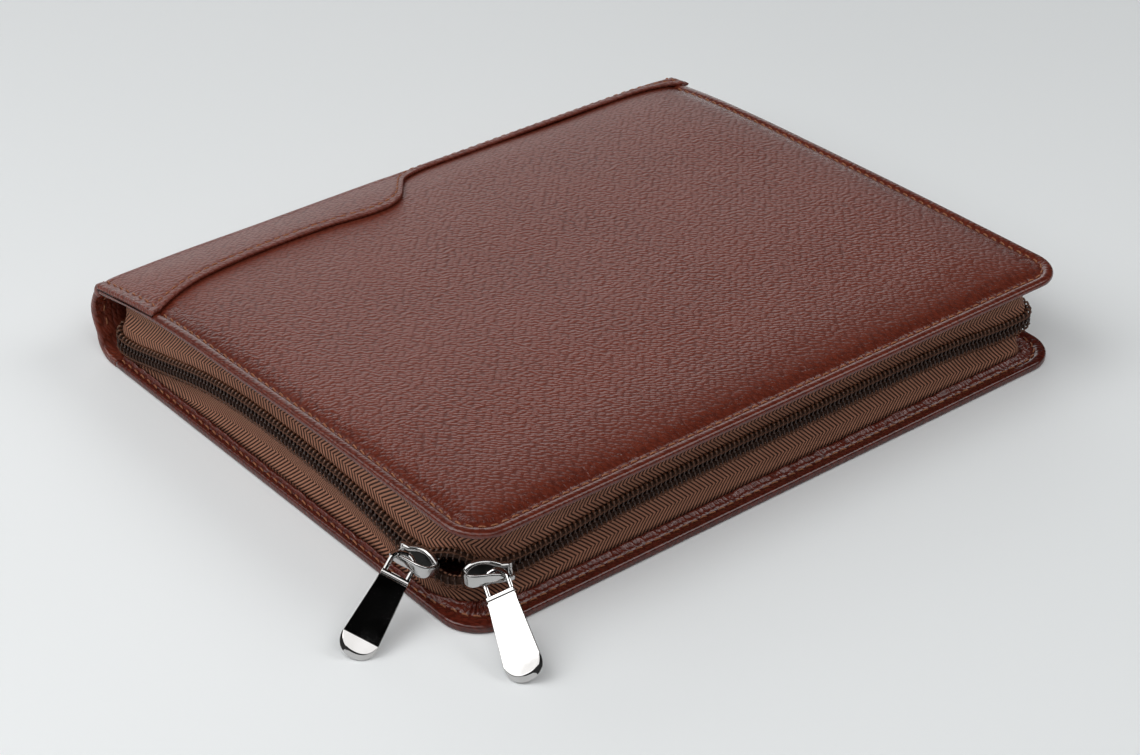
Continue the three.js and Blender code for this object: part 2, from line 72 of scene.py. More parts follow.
# Spine panel
SPINE = Values(wall=2.6, wall_x=0.5, bottom=8.5, top=3.5, seam=12, cover=4.2, leather=1.35, lift=0.35,
               swell=3, groove=0.32, end_groove=0.3, hem=0.14, wave=0.22)
OVERLAY_STITCH = 3.0
INNER_ROW = Values(low=10, high=24, waist=17, places=30)
# The overlay's edge: distance from the near side, and from the spine
OVERLAY_EDGE = [
    (0, 38), (12, 33.5), (30, 28.8), (52, 26.2), (82, 25.9), (101, 27.8), (109, 26.6), (115, 23.2),
    (121, 16), (127, 9), (134, 5.8), (160, 5.2), (232, 5.4), (250, 6.6), (260, 8.8), (265, 10.6),
]

# Hem of the back cover: its seam's share of its width, and depths of the seam, ridge, pleats and crinkles
HEM = Values(stitch=0.45, groove=0.4, ridge=0.9, gather=0.4, pleat=0.55, crinkle=0.11, wave=0.06)

# Zip
INSET = Values(near=4.5, fore=8, far=9.5)
NEAR_BEND = 22
FAR_BEND = 7
TUCK = Values(start=13.5, end=6.5)
TAPE = Values(thickness=0.7, bow=1.5, wave=0.3)
ROW_GAP = 0.15
COIL = Values(height=3.3, pitch=1.95)
MOUTH = Values(open=6, reach=15.8, lean=12, lean_reach=46, bend=31.95)
# Height of the zip: distance along its route, and height
ZIP_LINE = [
    (0, 9.8), (13, 8.3), (30, 11.8), (60, 18.6), (80, 21), (112, 21.5), (148, 19.2), (170, 15.4), (190, 15.6),
    (217, 16.6), (250, 19.6), (330, 20.2), (398, 19.3), (424, 17), (465, 18.4), (555, 20.5), (592, 14.5),
    (618, 8.6), (634, 9.8),
]

# One coil tooth from its turn at the row's outer edge to its head: up the tape's face, out of it, slant,
# radius, and how light it is, which is a painted highlight on the turn
TOOTH = np.array([
    (2.9, 0.25, 0.35, 0.3, 0.6), (3.45, 0.75, 0.34, 0.42, 1), (3.4, 1.4, 0.3, 0.45, 1),
    (2.7, 1.9, 0.2, 0.37, 0.6), (1.6, 2.05, 0, 0.33, 0.1), (0.5, 2.0, -0.2, 0.36, 0),
    (-0.3, 1.5, -0.3, 0.4, 0), (-0.1, 0.7, -0.3, 0.33, 0),
])
# The cord in a coil row: up the tape's face, and out of it
CORD = np.array([(0.1, 0.02), (0.15, 0.9), (0.6, 1.2), (2.2, 1.2), (2.6, 0.8), (2.7, 0.02)])
# The thread over a coil row: its middle and its sway, as the cord's, and its radius
COIL_THREAD = Values(middle=(2.2, 2.22), sway=(0.12, 0.18), radius=0.2)

# Stitches: pitch, length, radius, slant in degrees, and how far they stand out, also on the low overlay row
STITCH = Values(pitch=3.9, length=2.9, radius=0.29, slant=9, uneven=0.08, dip=0.55, proud=0.3, low=0.16)

# Sliders on the near corner's bend, and how their tabs lie: below level, swung along the zip, rolled
SLIDERS = [
    dict(side="left", bend=9.6, nose=1, swivel=-0.5, droop=27.3, skew=11.6, roll=-28),
    dict(side="right", bend=54.3, nose=-1, swivel=8.4, droop=26.9, skew=7.1, roll=28),
]
SLIDER = Values(tail=9.2, nose=6.5, front=4.0)
BAR = Values(height=4.7, hang=-2.8)
# A slider's front and back plates: distance in from the outline, and out of the tape
PLATE = [
    (0.5, 2.0), (0.1, 2.05), (0, 2.25), (0, 2.9), (0.1, 3.35), (0.35, 3.7),
    (0.7, 3.92), (1.05, 4.0), (1.35, 3.92), (1.6, 3.65), (1.72, 3.3), (1.75, 2.9),
]
# The floor of the plate's hollow, a dark sheet that paints the shade in it
PLATE_FLOOR = [(1.6, 2.8), (1.6, 3.0)]
BACK_PLATE = [(0.5, -4.0), (0.1, -3.95), (0, -3.7), (0, -3.3), (0.1, -3.05), (0.5, -3.0)]
# A bail: step, place along the zip, height, upper and lower edge, half thickness
BAIL = [
    (0, -8.6, -1.4, 1.0, -1.0, 0.7), (1, -8.6, 2.2, 0.8, -0.9, 0.7), (2, -8.4, 3.7, 0.75, -0.85, 0.65),
    (3, -7.8, 4.45, 0.72, -0.8, 0.62), (4, -5.6, 4.7, 0.8, -0.95, 0.6), (5, -4.0, 4.75, 1.9, -1.1, 0.55),
    (6, -1.4, 4.75, 2.2, -1.0, 0.55), (7, 0.6, 4.75, 2.2, -0.85, 0.55), (8, 2.8, 4.6, 2.2, -1.8, 0.55),
    (9, 4.6, 3.9, 2.1, -2.1, 0.6), (10, 5.7, 2.4, 1.8, -1.8, 0.65), (11, 6.0, -1.4, 1.6, -1.6, 0.7),
]
# A pull tab's loop, the bar at its neck, and its body: place along it, half width and height of its front
LOOP = Values(half=3.8, bend=0.8, end=5.2, wide=0.8, thick=0.75)
NECK = Values(along=5.2, long=0.75, half=4.62, thick=0.82)
TAB = Values(start=6.6, start_half=4.72, start_front=0.9, fold=28, fold_half=6.05, fold_front=1.5, back=-0.8)
TAB_TIP = Values(reach=6.05, tilt=7, power=2.3)
# The bevel round a tab: its least size, what it gains in width and depth round the tip and how soon, how far
# the back is drawn in, and the flat step inside it
BEVEL = Values(least=0.26, wider=1.6, deeper=1.35, growth=0.8, back=0.2, step=0.12)
# Its profile: share of its width from the flat front outwards, and share of its depth
TAB_BEVEL = [
    (0, 0), (0.05, 0.006), (0.1, 0.02), (0.2, 0.07), (0.3, 0.15),
    (0.4, 0.245), (0.68, 0.57), (0.93, 0.86), (1, 1),
]

# Leather grain: bend of the pebbles in metres, turn in degrees, cells a metre, depth of the relief in metres,
# and the share of painted shade near the rims
PEBBLE = Values(bend=0.0006, turn=-49, scale=840, stretch=(0.58, 1, 1), reach=0.62, depth=0.0003,
                pucker=(0.75, 0.26, 0), streak=3.4, burnish=0.28)
# Weave of the tapes in millimetres
WEAVE = Values(band=6.2, start=0.3, pitch=1.6, rib=0.55)

# Camera and light
LIGHTS = [
    dict(name="key", azimuth=-117, elevation=47, distance=1.2, size=(1.0, 1.0), power=6.2),
    dict(name="side", azimuth=52, elevation=46, distance=1.6, size=(0.9, 0.9), power=6.8),
    dict(name="fill", azimuth=-56, elevation=54, distance=1.6, size=(3.0, 1.2), power=17.5),
    dict(name="back", azimuth=150, elevation=27, distance=1.8, size=(1.0, 0.6), power=0.6),
]
# The world from the horizon up: sine of the elevation, and colour
SKY = [
    (0.0, (1.0, 1.0, 1.0)), (0.2, (0.86, 0.87, 0.88)), (0.42, (0.72, 0.725, 0.73)),
    (0.52, (0.5, 0.505, 0.51)), (0.66, (0.1, 0.1, 0.1)), (0.8, (0.03, 0.03, 0.03)),
]
CAMERA = Values(place=(0.63848, -0.56162, 0.53782), turn=(48.94774, 57.24383, 1.86679), lens=91.1)


def curve_through(rows, column):
    """A smooth curve through one column of a table, over its first column."""
    keys, values = np.array(rows, float)[:, [0, column]].T
    secants = np.diff(values) / np.diff(keys)
    slopes = np.concatenate([secants[:1], (secants[1:] + secants[:-1]) / 2, secants[-1:]])

    def evaluate(at):
        at = np.clip(at, keys[0], keys[-1])
        i = np.clip(np.searchsorted(keys, at, side="right") - 1, 0, len(keys) - 2)
        step = keys[i + 1] - keys[i]
        t = (at - keys[i]) / step
        start = (1 + 2 * t) * (1 - t) ** 2 * values[i] + t * (1 - t) ** 2 * step * slopes[i]
        end = t * t * (3 - 2 * t) * values[i + 1] + t * t * (t - 1) * step * slopes[i + 1]
        return start + end

    return evaluate


def ease(t):
    t = np.clip(t, 0, 1)
    return t ** 3 * (t * (6 * t - 15) + 10)


def bell(value, middle, width):
    return np.exp(-(((value - middle) / width) ** 2))


LATTICE = np.random.default_rng(11).uniform(-1, 1, (256, 256))


def noise(u, v):
    """Smooth seeded noise from -1 to 1 with one bump for each unit of u and v."""
    u, v = np.broadcast_arrays(np.asarray(u, float), np.asarray(v, float))
    i = np.floor(u).astype(int)
    j = np.floor(v).astype(int)
    a = ease(u - i)
    b = ease(v - j)
    pick = lambda di, dj: LATTICE[(i + di) % 256, (j + dj) % 256]
    low = pick(0, 0) * (1 - a) + pick(1, 0) * a
    high = pick(0, 1) * (1 - a) + pick(1, 1) * a
    return low * (1 - b) + high * b


def ridged(u, v):
    """Noise with sharp crests."""
    return 1 - 2.6 * np.abs(noise(u, v))


def unit(vectors, least=0.0):
    return vectors / (np.linalg.norm(vectors, axis=1)[:, None] + least)


def distances(path):
    """Distance along a path to each of its points."""
    return np.concatenate([[0], np.cumsum(np.linalg.norm(np.diff(path, axis=0), axis=1))])


def table_at(where, keys, table):
    return np.stack([np.interp(where, keys, column) for column in table.T], axis=-1)


def blunt(value, power):
    return np.sign(value) * np.abs(value) ** power


def circle(count, power=1.0):
    """Cosines and sines evenly round a circle, which a power below 1 makes squarer."""
    angles = np.linspace(0, 2 * np.pi, count, endpoint=False)
    return blunt(np.cos(angles), power), blunt(np.sin(angles), power)


def left_of(run):
    """Directions a quarter turn to the left of others, in plan."""
    return np.stack([-run[:, 1], run[:, 0]], axis=1)


def rings_round(centres, side, other, radii, count):
    """Rings round the points of a path, in the plane of two directions at each."""
    cos, sin = circle(count)
    turned = side[:, None] * cos[None, :, None] + other[:, None] * sin[None, :, None]
    return centres[:, None] + turned * radii[:, None, None]


def to_frame(points):
    return (np.asarray(points, float) - (WIDTH / 2, LENGTH / 2, 0)) * 0.001


def new_object(name, data):
    made = bpy.data.objects.new(name, data)
    bpy.context.scene.collection.objects.link(made)
    return made


def mesh_piece(name, points, faces, material, uv=None, body="case", sharp=None, marks=None):
    """A smooth closed mesh, in the shared frame, that rides on a body.

    sharp is the least angle of a hard edge; marks are values at each point for the material to use.
    """
    mesh = bpy.data.meshes.new(name)
    mesh.from_pydata(to_frame(points).tolist(), [], faces)
    if uv is not None:
        corners = np.zeros(len(mesh.loops), np.int32)
        mesh.loops.foreach_get("vertex_index", corners)
        mesh.uv_layers.new(name="weave").data.foreach_set("uv", uv[corners].ravel())
    shape = bmesh.new()
    shape.from_mesh(mesh)
    bmesh.ops.recalc_face_normals(shape, faces=shape.faces)
    shape.to_mesh(mesh)
    shape.free()
    mesh.polygons.foreach_set("use_smooth", np.ones(len(mesh.polygons), bool))
    if sharp is not None:
        mesh.set_sharp_from_angle(angle=np.radians(sharp))
    for key, values in (marks or {}).items():
        kind, field = ("FLOAT", "value") if values.ndim == 1 else ("FLOAT_VECTOR", "vector")
        mesh.attributes.new(key, kind, "POINT").data.foreach_set(field, values.ravel())
    mesh.materials.append(material)
    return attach(new_object(name, mesh), body)


def grid_faces(start, here, after, count):
    """Quads between rings that start at the given points, from one place in a ring to the one after it."""
    corners = [start + here, start + after, start + count + after, start + count + here]
    return np.stack(corners, axis=-1).reshape(-1, 4).tolist()


def loft_faces(rings, count, first=0):
    """Faces of a solid through rings with the same number of points, closed at both ends."""
    start = first + np.arange(rings - 1)[:, None] * count
    here = np.arange(count)[None, :]
    quads = grid_faces(start, here, (here + 1) % count, count)
    last = first + (rings - 1) * count
    return [*quads, list(range(first, first + count)), list(range(last, last + count))]


def many_lofts(solids):
    """Points and faces of several lofts, each an array of rings, points and places."""
    points, faces, first = [], [], 0
    for solid in solids:
        rings, count = solid.shape[:2]
        points.append(solid.reshape(-1, 3))
        faces += loft_faces(rings, count, first)
        first += rings * count
    return np.concatenate(points), faces


# Surfaces of the covers
near_rim = curve_through(RIM_HEIGHTS, 1)
far_rim = curve_through(RIM_HEIGHTS, 2)
overlay_reach = curve_through(OVERLAY_EDGE, 1)
zip_height = curve_through(ZIP_LINE, 1)


def edge_distance(x, y, length):
    """Distance in from a cover's outline, which is open at the spine."""
    side = np.minimum(y, length - y)
    beyond = x - (WIDTH - CORNER_RADIUS)
    corner = CORNER_RADIUS - side
    straight = np.minimum(side, WIDTH - x)
    return np.where((beyond > 0) & (corner > 0), CORNER_RADIUS - np.hypot(beyond, corner), straight)


def edge_along(x, y, length):
    """Place along a cover's outline, from the near side round to the far one."""
    turn = CORNER_RADIUS * np.pi / 2
    side = WIDTH - CORNER_RADIUS
    fore = side + turn - CORNER_RADIUS + y
    far = side + 2 * turn + length - 2 * CORNER_RADIUS + side - x
    beyond = x - side
    low = CORNER_RADIUS - y
    high = y - length + CORNER_RADIUS
    along = np.where(WIDTH - x < np.minimum(y, length - y), fore, np.where(y < length / 2, x, far))
    along = np.where((beyond > 0) & (low > 0), side + CORNER_RADIUS * np.arctan2(beyond, low), along)
    past = side + turn + length - 2 * CORNER_RADIUS
    return np.where((beyond > 0) & (high > 0), past + CORNER_RADIUS * np.arctan2(high, beyond), along)


def rim_turn(distance):
    inside = RIM_ROUND - np.clip(distance, 0, RIM_ROUND)
    return RIM_ROUND - np.sqrt(RIM_ROUND ** 2 - inside ** 2)


def rim_height(x, y):
    return near_rim(x) + (far_rim(x) - near_rim(x)) * y / LENGTH


def puff_rise(distance):
    return 1 - (1 - np.clip((distance - PUFF.seam) / PUFF.run, 0, 1)) ** PUFF.power


def front_top(x, y):
    across = puff_rise(WIDTH - x) * ease((x + 10) / PUFF.spine_run)
    padding = PUFF.height * across * puff_rise(y) * puff_rise(FRONT_LENGTH - y)
    return rim_height(x, y) + padding - rim_turn(edge_distance(x, y, FRONT_LENGTH))


def front_under(x, y):
    return rim_height(x, y) - RIM_THICKNESS + rim_turn(edge_distance(x, y, FRONT_LENGTH))


def near_fore(x, reach):
    return ease(1 - (WIDTH - x) / reach)


def front_skin(x, y):
    """The front cover's leather: the solid's top with its seam, hem, puckers and waves."""
    inset = edge_distance(x, y, FRONT_LENGTH)
    along = edge_along(x, y, FRONT_LENGTH)
    groove = -FRONT.groove * bell(inset, FRONT.stitch, 0.8)
    hem = FRONT.hem * np.sin(np.pi * np.clip(inset / FRONT.stitch, 0, 1))
    window = ease((inset - FRONT.stitch - 0.4) / 2.2) * (1 - ease((inset - 7.5) / 6.5))
    strength = 0.4 + 0.6 * near_fore(x, FRONT.fore)
    pucker = 0.7 * ridged(along / 2.6, inset / 8) + 0.6 * noise(along / 5.3 + 40, inset / 12 + 9)
    wave = noise(x / 46 + 3, y / 40 + 5) * ease((inset - 12) / 20)
    return front_top(x, y) + groove + hem + FRONT.pucker * strength * window * pucker + FRONT.wave * wave


def front_rows(x):
    beyond = max(0.0, x - (WIDTH - CORNER_RADIUS))
    low = CORNER_RADIUS - np.sqrt(CORNER_RADIUS ** 2 - min(beyond, CORNER_RADIUS) ** 2)
    high = FRONT_LENGTH - low
    inner = RIM_STEPS[-1]
    steps = round((FRONT_LENGTH - 2 * inner) / FRONT.grid_y)
    middle = np.linspace(low + inner, high - inner, steps + 1)[1:-1]
    return np.concatenate([low + RIM_STEPS, middle, high - RIM_STEPS[::-1]]), low, high


def make_front(material):
    straight = WIDTH - RIM_STEPS[-1]
    columns = np.linspace(FRONT.start, straight, round((straight - FRONT.start) / FRONT.grid_x) + 1)
    columns = np.concatenate([columns[:-1], WIDTH - RIM_STEPS[::-1]])
    turned = RIM_STEPS[:8]
    rings = []
    for x in columns:
        rows, low, high = front_rows(x)
        under = np.concatenate([high - turned, low + turned[::-1]])
        top = np.stack([np.full_like(rows, x), rows, front_skin(x, rows)], axis=1)
        bottom = np.stack([np.full_like(under, x), under, front_under(x, under)], axis=1)
        rings.append(np.concatenate([top, bottom]))
    rings = np.array(rings)
    points = rings.reshape(-1, 3)
    x, y, _ = points.T
    inset = edge_distance(x, y, FRONT_LENGTH)
    pull = ease((inset - 4.2) / 2) * (1 - ease((inset - 6) / 12)) * (0.3 + 0.7 * near_fore(x, FRONT.fore))
    low = CORNER_RADIUS - np.minimum(y, FRONT_LENGTH - y)
    corner = ease((x - WIDTH + CORNER_RADIUS + 10) / 12) * ease((low + 10) / 12)
    pull = pull * (1 - corner * ease((inset - 5) / 5))
    # Painted shade: the leather's colour is darkened near its rims, most towards the fore edge.
    fore = near_fore(x, FRONT.burnish)
    marks = dict(
        seam=1 - ease((inset - 4) / 11),
        burnish=(0.45 + 0.55 * fore) * (1 - ease((inset - 4) / (24 + 40 * fore))),
        pucker=np.column_stack([edge_along(x, y, FRONT_LENGTH), inset, pull]),
    )
    piece = mesh_piece("front_leather", points, loft_faces(*rings.shape[:2]), material, marks=marks)
    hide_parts("front_cover")


# Spine panel with its overlay on the front cover
def arc(x, z, radius, start, end, steps):
    angles = np.radians(np.linspace(start, end, steps + 1))
    return np.stack([x + radius * np.cos(angles), z + radius * np.sin(angles)], axis=1)


def overlay_under(x, y):
    return front_top(np.maximum(x, SPINE.cover), min(y, FRONT_LENGTH)) + SPINE.lift


def spine_skin(y):
    """Outer side of the spine panel at one place along it, from the lower seam up to the overlay's edge."""
    bottom, top, wall_x = SPINE.bottom, SPINE.top, SPINE.wall_x
    top_z = overlay_under(SPINE.cover, y) + SPINE.leather
    shoulder = top_z - top
    waist = np.linspace(bottom, shoulder, 16)[1:-1]
    swelling = wall_x - SPINE.swell * np.sin(np.pi * (waist - bottom) / (shoulder - bottom))
    on_cover = wall_x + top + (overlay_reach(y) - wall_x - top - 0.45) * np.linspace(0, 1, 43)[1:]
    return np.concatenate([
        [[SPINE.seam, 0]],
        arc(wall_x + bottom, bottom, bottom, 270, 180, 10),
        np.stack([swelling, waist], axis=1),
        arc(wall_x + top, shoulder, top, 180, 90, 10),
        np.stack([on_cover, overlay_under(on_cover, y) + SPINE.leather], axis=1),
    ])


def round_cover(inset, length, start, end, counts):
    """A line inside a cover's outline, from the near side round to the far one.

    counts are the points on the near side, a corner, the fore edge and the far side.
    """
    near, corner, fore, far = counts
    side, radius = WIDTH - CORNER_RADIUS, CORNER_RADIUS - inset
    fore_y = np.linspace(CORNER_RADIUS, length - CORNER_RADIUS, fore)
    return np.concatenate([
        np.column_stack([np.linspace(start, side, near), np.full(near, inset)]),
        arc(side, CORNER_RADIUS, radius, -90, 0, corner)[1:],
        np.column_stack([np.full(fore, WIDTH - inset), fore_y])[1:],
        arc(side, length - CORNER_RADIUS, radius, 0, 90, corner)[1:],
        np.column_stack([np.linspace(side, end, far), np.full(far, length - inset)])[1:],
    ])


def outward(path):
    """Unit directions out of a path that runs clockwise round a solid, in its own plane."""
    return left_of(unit(np.gradient(path, axis=0), 1e-9))


def spine_detailed(y):
    """The outer side with the groove of the stitches, the hem beyond it and slow waves."""
    path = spine_skin(y)
    back = distances(path[::-1])[::-1]
    end = min(y, LENGTH - y)
    groove = -SPINE.groove * bell(back, OVERLAY_STITCH, 0.7) - SPINE.end_groove * bell(end, FRONT.stitch, 0.8)
    hem = SPINE.hem * np.sin(np.pi * np.clip(back / OVERLAY_STITCH, 0, 1))
    wave = SPINE.wave * noise(y / 21, back / 17)
    wave = wave * ease((end - 6) / 10) * ease((back - 5) / 6) * ease((path[:, 1] - 3) / 6)
    return path + outward(path) * (groove + hem + wave)[:, None], back


def spine_outline(y):
    path, _ = spine_detailed(y)
    lip_x, lip_z = path[-1]
    thick = SPINE.leather
    lip = [[lip_x + 0.25, lip_z - 0.1], [lip_x + 0.42, lip_z - 0.35], [lip_x + 0.45, lip_z - 0.65],
           [lip_x + 0.38, lip_z - thick + 0.2], [lip_x + 0.15, lip_z - thick + 0.03]]
    under_x = np.linspace(lip_x, SPINE.cover, 12)[1:]
    inside = SPINE.cover - 0.3
    inner_z = np.linspace(front_under(SPINE.cover, min(y, FRONT_LENGTH)) - 1, SPINE.bottom, 10)
    shoulder = spine_skin(y)[27, 1]
    rise = np.sin(np.pi * np.clip((inner_z - SPINE.bottom) / (shoulder - SPINE.bottom), 0, 1))
    inner_x = SPINE.wall_x + SPINE.wall - SPINE.swell * rise
    radius = SPINE.bottom - BACK_THICKNESS
    return np.concatenate([
        path,
        lip,
        np.stack([under_x, overlay_under(under_x, y)], axis=1),
        [[inside, overlay_under(SPINE.cover, y)]],
        [[inside, inner_z[0]]],
        np.stack([inner_x, inner_z], axis=1)[1:-1],
        arc(SPINE.wall_x + SPINE.bottom, SPINE.bottom, radius, 180, 270, 8),
        [[SPINE.seam, BACK_THICKNESS]],
    ])


def drawn_in(outline, amount):
    """An outline with each point moved in, to round the end of a panel."""
    run = unit(np.roll(outline, -1, axis=0) - np.roll(outline, 1, axis=0), 1e-9)
    return outline - np.asarray(amount)[..., None] * left_of(run)


def make_spine(material):
    ends = np.array([*EDGE_STEPS, 1.7, 2.5, 3.3, 4.0, 4.7, 5.4])
    middle = np.linspace(ends[-1], LENGTH - ends[-1], 236)[1:-1]
    stops = np.concatenate([ends, middle, LENGTH - ends[::-1]])
    rings = []
    for y in stops:
        outline = drawn_in(spine_outline(y), 0.9 * rim_turn(min(y, LENGTH - y)))
        rings.append(np.stack([outline[:, 0], np.full(len(outline), y), outline[:, 1]], axis=1))
    rings = np.array(rings)
    points = rings.reshape(-1, 3)
    seam = 0.45 - 0.45 * ease((np.minimum(points[:, 1], LENGTH - points[:, 1]) - 3) / 4)
    piece = mesh_piece("spine_leather", points, loft_faces(*rings.shape[:2]), material, marks=dict(seam=seam))
    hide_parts("spine_panel")


# Zip route in plan: its places, its outward directions, its heights and how it opens between the sliders
FORE_X = WIDTH - INSET.fore
FAR_Y = LENGTH - INSET.far


def bow(start, control, end, steps=40):
    t = np.linspace(0, 1, steps)[:, None]
    a, b, c = (np.array(p, float) for p in (start, control, end))
    return a * (1 - t) ** 2 + 2 * b * t * (1 - t) + c * t ** 2


def zip_route():
    near, tail, start = INSET.near, TUCK.end, TUCK.start
    return np.concatenate([
        bow((tail, near + start - tail), (tail, near), (start, near)),
        arc(FORE_X - NEAR_BEND, near + NEAR_BEND, NEAR_BEND, -90, 0, 200),
        arc(FORE_X - FAR_BEND, FAR_Y - FAR_BEND, FAR_BEND, 0, 90, 100),
        bow((start, FAR_Y), (tail, FAR_Y), (tail, FAR_Y - start + tail)),
    ])


ROUTE = zip_route()
ROUTE_ALONG = distances(ROUTE)
BEND_START = ROUTE_ALONG[40]
MOUTH_MIDDLE = BEND_START + NEAR_BEND * np.radians(MOUTH.bend)


def route_at(along):
    return table_at(along, ROUTE_ALONG, ROUTE)


def swing(along, reach):
    return np.cos(np.clip(np.abs(along - MOUTH_MIDDLE) / reach, 0, 1) * np.pi / 2)


def lean_at(along):
    return np.radians(MOUTH.lean) * swing(along, MOUTH.lean_reach) ** 2


def zip_stops(along):
    """Places and directions along the zip: up the tape's face, out of it, and the way the zip runs."""
    ahead = unit(route_at(np.minimum(along + 0.4, ROUTE_ALONG[-1])) - route_at(np.maximum(along - 0.4, 0)))
    level = -left_of(ahead)
    lean = lean_at(along)
    flat = np.zeros(len(along))
    place = route_at(along)
    return Values(
        along=along,
        plan=place,
        height=zip_height(along),
        mouth=MOUTH.open * swing(along, MOUTH.reach) ** 4,
        level=np.column_stack([level, flat]),
        run=np.column_stack([ahead, flat]),
        face=np.column_stack([-np.sin(lean)[:, None] * level, np.cos(lean)]),
        out=np.column_stack([np.cos(lean)[:, None] * level, np.sin(lean)]),
    )


def coil_root(stops, way):
    middle = np.column_stack([stops.plan, stops.height])
    return middle + stops.face * (way * (stops.mouth / 2 + ROW_GAP))[:, None]


def floor_height(x):
    radius = SPINE.bottom - BACK_THICKNESS
    into = np.clip(SPINE.wall_x + SPINE.bottom - x, 0, radius)
    return SPINE.bottom - np.sqrt(radius ** 2 - into ** 2)


def make_tape(name, way, material):
    """A tape wall from its coil to the cover that it is sewn to; way is 1 for the upper, -1 for the lower."""
    stops = zip_stops(np.linspace(0, ROUTE_ALONG[-1], 560))
    edge = coil_root(stops, way)
    x, y = stops.plan.T
    sewn = np.column_stack([stops.plan, front_under(x, y) - 0.03 if way > 0 else floor_height(x) + 0.03])
    room = np.abs(sewn[:, 2] - edge[:, 2])
    behind = edge + stops.face * (way * np.minimum(COIL.height + 0.3, 0.85 * room))[:, None]
    middle = (behind + sewn) / 2 - stops.level * (TAPE.bow * np.minimum(1, room / 12))[:, None]
    control = 2 * middle - (behind + sewn) / 2
    flat_part = [edge + (behind - edge) * t for t in (0, 0.5)]
    curved = [behind * (1 - t) ** 2 + 2 * control * t * (1 - t) + sewn * t * t for t in np.linspace(0, 1, 9)]
    outer = np.stack([*flat_part, *curved], axis=1)
    share = np.array([0, 0, 0, *np.sin(np.pi * np.linspace(0, 1, 9))[1:]])
    ripple = TAPE.wave * noise(stops.along / 13 + 70 * way, 0.5)[:, None] * share[None, :]
    outer = outer + stops.level[:, None, :] * ripple[:, :, None]
    inner = outer - stops.level[:, None, :] * TAPE.thickness
    rings = np.concatenate([outer, inner[:, ::-1]], axis=1)
    steps = np.linalg.norm(np.diff(outer, axis=1), axis=2)
    across = np.concatenate([np.zeros((len(x), 1)), np.cumsum(steps, axis=1)], axis=1)
    across = np.concatenate([across, across[:, ::-1]], axis=1)
    uv = np.stack([np.broadcast_to(stops.along[:, None], across.shape), across], axis=-1).reshape(-1, 2)
    piece = mesh_piece(name, *many_lofts([rings]), material, uv)
    area = float(across[:, len(flat_part) + 8].mean()) * ROUTE_ALONG[-1] * 1e-6
    return piece, area, float(across.max()) * 0.001


# Coil rows: separate teeth, the cord inside them and the thread that holds them on the tape
def tube(points, radii, sides):
    """Rings round a path, with the radius of each point, in the path's own axes."""
    run = unit(np.gradient(points, axis=0))
    side = unit(np.cross(run, (0, 0, 1.0)))
    return rings_round(points, side, np.cross(side, run), radii, sides)


def make_coil(side, way, nylon, cord, thread):
    count = int(ROUTE_ALONG[-1] / COIL.pitch) - 1
    stops = zip_stops((np.arange(count) + (0.75 if way > 0 else 1.25)) * COIL.pitch)
    root = coil_root(stops, way)
    rings = tube(TOOTH[:, :3], TOOTH[:, 3], 7)
    axes = np.stack([way * stops.face, stops.out, stops.run], axis=1)
    teeth = root[:, None, None, :] + np.einsum("rpk,tkc->trpc", rings, axes)
    # Each point's share of the painted highlight that lightens the tooth's turn.
    painted_glint = np.tile(np.repeat(TOOTH[:, 4], rings.shape[1]), count)
    piece = mesh_piece(f"coil_teeth_{side}", *many_lofts(teeth), nylon, marks=dict(painted_glint=painted_glint))
    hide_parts(f"zip_coil_{side}")

    fine = zip_stops(np.linspace(0.5, ROUTE_ALONG[-1] - 0.5, 1300))
    root = coil_root(fine, way)
    axes = np.stack([way * fine.face, fine.out], axis=1)
    phase = 2 * np.pi * fine.along / COIL.pitch
    line = COIL_THREAD.middle + COIL_THREAD.sway * np.column_stack([np.sin(phase), np.cos(phase)])
    ring = COIL_THREAD.radius * np.column_stack(circle(6))
    wound = line[:, None, :] + ring[None]
    for part, sections, material in (("cord", CORD[None], cord), ("thread", wound, thread)):
        sections = np.broadcast_to(sections, (len(root), *sections.shape[1:]))
        rings = root[:, None, :] + np.einsum("tpk,tkc->tpc", sections, axes)
        piece = mesh_piece(f"coil_{part}_{side}", *many_lofts([rings]), material)


# Back cover: a hem between its outline and the tape, with a gathered edge against the tape
def outside_tape(point):
    """How far a place in plan is outside the tape's face."""
    x, y = point
    bend = NEAR_BEND if y < LENGTH / 2 else FAR_BEND
    side = min(y - INSET.near, FAR_Y - y)
    fore = FORE_X - x
    if fore < bend and side < bend:
        return float(np.hypot(bend - fore, bend - side) - bend)
    return -min(side, fore)


def hem_width(edge, inward):
    low, high = 0.0, 20.0
    for _ in range(24):
        middle = (low + high) / 2
        low, high = (middle, high) if outside_tape(edge + inward * middle) > 0 else (low, middle)
    return low


def hem_path():
    """Places along the back cover's outline, with the way in and the hem's width at each."""
    start = SPINE.seam + 0.3
    edge = round_cover(0.0, LENGTH, start, start, (170, 40, 220, 170))
    ahead = unit(np.gradient(edge, axis=0))
    inward = left_of(ahead)
    inward[0] = (0, 1)
    inward[-1] = (0, -1)
    width = np.array([hem_width(e, n) for e, n in zip(edge, inward)])
    return Values(edge=edge, inward=inward, width=width, along=distances(edge))


